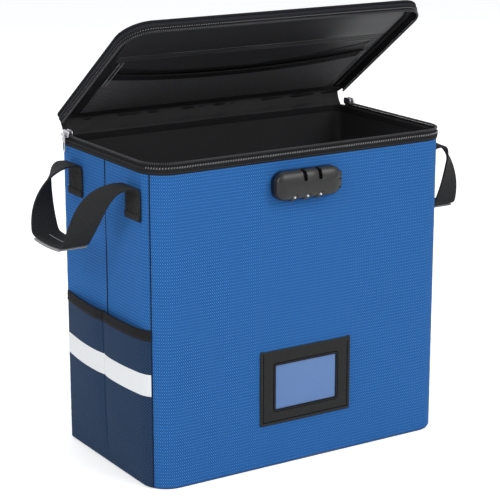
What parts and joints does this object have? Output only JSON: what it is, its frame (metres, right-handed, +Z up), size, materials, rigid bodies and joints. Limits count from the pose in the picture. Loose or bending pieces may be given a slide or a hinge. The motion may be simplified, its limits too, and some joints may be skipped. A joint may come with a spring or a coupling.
{
  "type": "record carrying case",
  "caption": "Soft-sided fabric carrying case with stiffened walls, a zip-round hinged lid, a combination lock, a label holder, a side pocket and webbing handles.",
  "frame": {"origin": "centre of the base, on the floor", "axes": "+X to the right along the front, -Y out of the front, +Z up"},
  "size_m": [0.494, 0.2252, 0.4717],
  "materials": {
    "blue_fabric": "woven, matte",
    "navy_fabric": "coarse weave, matte",
    "base_fabric": "woven, matte",
    "lining_fabric": "smooth woven lining, satin",
    "binding_tape": "ribbed woven tape, matte",
    "webbing": "ribbed webbing, matte",
    "grip_pad": "smooth coated fabric, satin",
    "reflective_tape": "retroreflective tape, satin",
    "pocket_net": "fine net, matte",
    "fibreboard": "plain",
    "foam_pad": "padded, matte",
    "zip_coil": "moulded coil",
    "label_vinyl": "grained vinyl",
    "clear_film": "clear, glossy",
    "lock_plastic": "satin moulded",
    "dial_plastic": "moulded",
    "zinc": "polished zinc",
    "steel": "plain steel"
  },
  "bodies": {
    "case": {"front_panel": "blue_fabric", "back_panel": "blue_fabric", "left_panel": "blue_fabric", "right_panel": "blue_fabric", "bottom_panel": "base_fabric", "front_board": "fibreboard", "back_board": "fibreboard", "left_front_board": "fibreboard", "left_back_board": "fibreboard", "right_front_board": "fibreboard", "right_back_board": "fibreboard", "body_lining": "lining_fabric", "base_board": "fibreboard", "base_pad": "foam_pad", "rim_binding": "binding_tape", "body_zip_tape": "binding_tape", "body_zip_coil": "zip_coil", "hinge_tape": "binding_tape", "side_pocket": "navy_fabric", "side_pocket_binding": "binding_tape", "reflective_strip": "reflective_tape", "label_frame": "label_vinyl", "label_film": "clear_film", "lock_housing": "lock_plastic", "lock_plate": "steel", "lock_spindle": "steel", "lock_screws": "steel", "lock_spring": "steel", "handle_left_ends": "webbing", "handle_right_ends": "webbing"},
    "lid": {"lid_cover": "blue_fabric", "lid_board": "fibreboard", "lid_lining": "lining_fabric", "lid_side_band": "base_fabric", "lid_piping": "binding_tape", "lid_binding": "binding_tape", "lid_zip_tape": "binding_tape", "lid_zip_coil": "zip_coil", "lid_hinge_roll": "binding_tape", "lid_front_panel": "lining_fabric", "lid_stitched_band": "binding_tape", "lid_net_pocket": "pocket_net", "lid_net_elastic": "binding_tape"},
    "handle_left": {"handle_left_strap": "webbing", "handle_left_grip": "grip_pad"},
    "handle_right": {"handle_right_strap": "webbing", "handle_right_grip": "grip_pad"},
    "slider_left": {"slider_left": "zinc"},
    "slider_right": {"slider_right": "zinc"},
    "pull_left": {"pull_left": "zinc"},
    "pull_right": {"pull_right": "zinc"},
    "dial_1": {"lock_dial_1": "dial_plastic"},
    "dial_2": {"lock_dial_2": "dial_plastic"},
    "dial_3": {"lock_dial_3": "dial_plastic"},
    "release": {"lock_button": "lock_plastic", "lock_latch": "steel"}
  },
  "joints": [
    {"name": "lid_hinge", "type": "hinge", "parent": "case", "child": "lid", "pos_m": [0, 0.1029, 0.34], "axis": [-1, 0, 0], "range_deg": [-36, 144]},
    {"name": "handle_left_swing", "type": "hinge", "parent": "case", "child": "handle_left", "pos_m": [-0.1882, 0, 0.312], "axis": [0, 1, 0], "range_deg": [-26, 95]},
    {"name": "handle_right_swing", "type": "hinge", "parent": "case", "child": "handle_right", "pos_m": [0.1882, 0, 0.312], "axis": [0, -1, 0], "range_deg": [-18, 95]},
    {"name": "slider_left_slide", "type": "slide", "parent": "case", "child": "slider_left", "axis": [0, -1, 0], "range_m": [0, 0.105]},
    {"name": "slider_right_slide", "type": "slide", "parent": "case", "child": "slider_right", "axis": [0, -1, 0], "range_m": [0, 0.105]},
    {"name": "pull_left_swing", "type": "hinge", "parent": "slider_left", "child": "pull_left", "pos_m": [-0.1842, 0.081, 0.339], "axis": [0, 1, 0], "range_deg": [0, 150]},
    {"name": "pull_right_swing", "type": "hinge", "parent": "slider_right", "child": "pull_right", "pos_m": [0.1842, 0.081, 0.339], "axis": [0, -1, 0], "range_deg": [0, 150]},
    {"name": "dial_1_turn", "type": "hinge", "parent": "case", "child": "dial_1", "pos_m": [-0.0243, -0.1075, 0.2915], "axis": [1, 0, 0], "continuous": true},
    {"name": "dial_2_turn", "type": "hinge", "parent": "case", "child": "dial_2", "pos_m": [-0.0085, -0.1075, 0.2915], "axis": [1, 0, 0], "continuous": true},
    {"name": "dial_3_turn", "type": "hinge", "parent": "case", "child": "dial_3", "pos_m": [0.0073, -0.1075, 0.2915], "axis": [1, 0, 0], "continuous": true},
    {"name": "release_press", "type": "slide", "parent": "case", "child": "release", "axis": [-1, 0, 0], "range_m": [0, 0.0025], "stiffness_N_per_m": 250, "springref_m": -0.001, "deforming": ["lock_spring"]}
  ]
}
